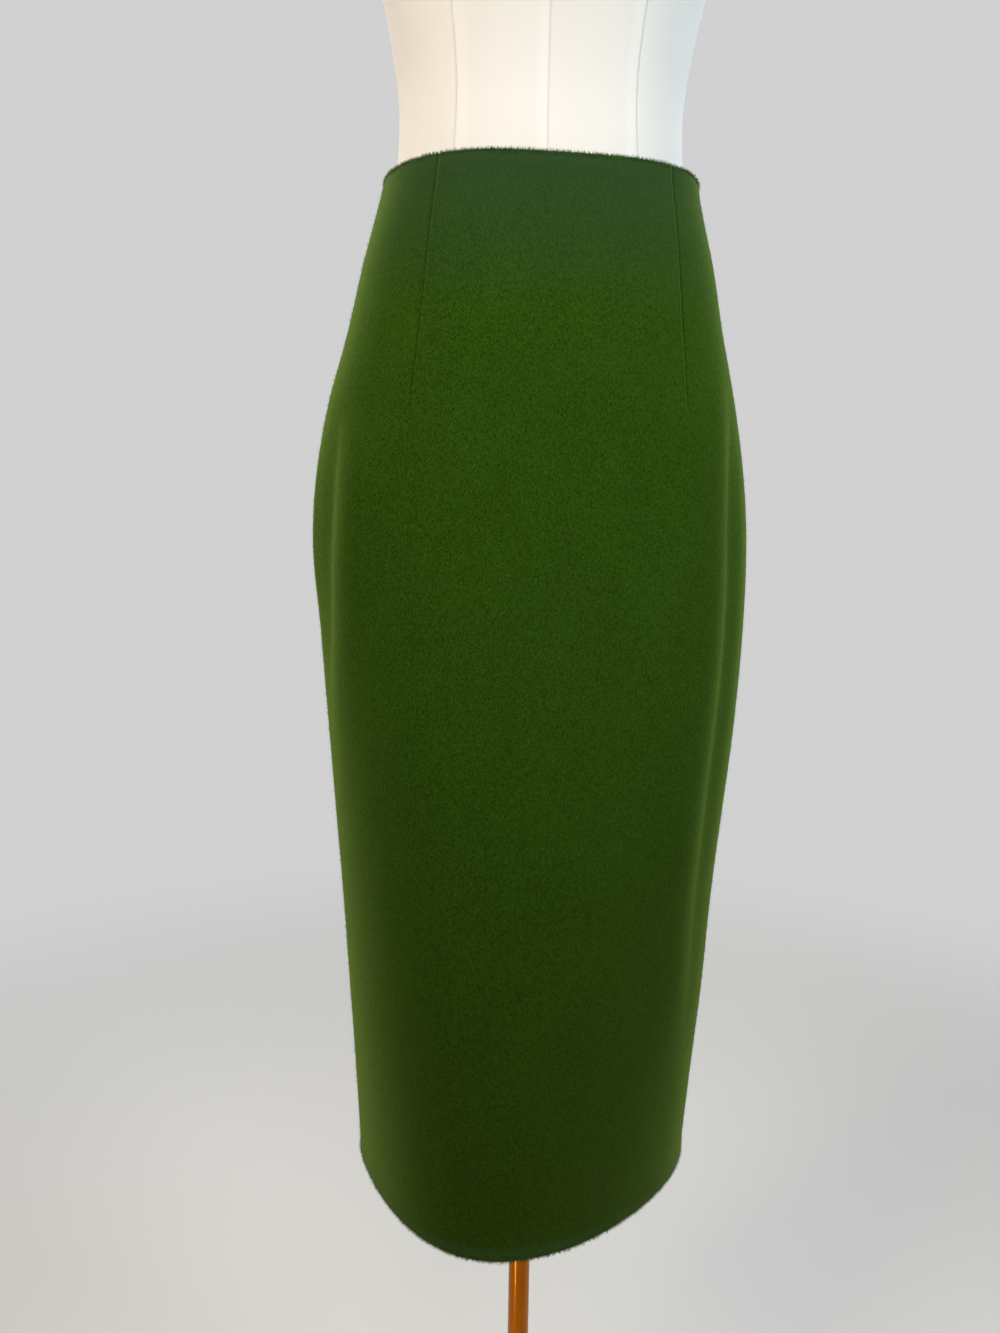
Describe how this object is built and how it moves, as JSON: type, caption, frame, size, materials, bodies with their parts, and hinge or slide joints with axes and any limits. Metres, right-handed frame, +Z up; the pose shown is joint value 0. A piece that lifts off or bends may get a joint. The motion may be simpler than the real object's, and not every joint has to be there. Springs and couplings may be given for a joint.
{
  "type": "pencil skirt on a limbless dress form",
  "caption": "High-waisted midi pencil skirt in felted wool with front darts, standing on a limbless dress form with a pole and round base.",
  "frame": {"origin": "on the floor at the centre of the base's underside, on the pole's axis", "axes": "+Z up, the skirt's front towards -Y, +X to the viewer's right from the front"},
  "size_m": [0.38, 0.38, 1.7563],
  "materials": {
    "wool": "felted double-faced wool with a short nap",
    "zip_tape": "woven tape",
    "zip_enamel": "enamel matched to the cloth",
    "form_cover": "smooth off-white cover",
    "brass": "satin brass plate under a deep gold lacquer"
  },
  "bodies": {
    "skirt_on_form": {"skirt_front": "wool", "skirt_back_left": "wool", "skirt_back_right": "wool", "zip_tape": "zip_tape", "zip_slider": "zip_enamel", "form_torso": "form_cover", "form_neck_cap": "brass", "form_flange": "brass", "form_collar": "brass", "stand_pole": "brass", "stand_socket": "brass", "stand_base": "brass"},
    "zip_pull": {"zip_pull": "zip_enamel"}
  },
  "joints": [
    {"name": "zip_pull_swing", "type": "hinge", "parent": "skirt_on_form", "child": "zip_pull", "pos_m": [-0.00432, 0.07762, 1.22158], "axis": [0.9971, 0.0706, -0.0293], "range_deg": [0, 165]}
  ]
}
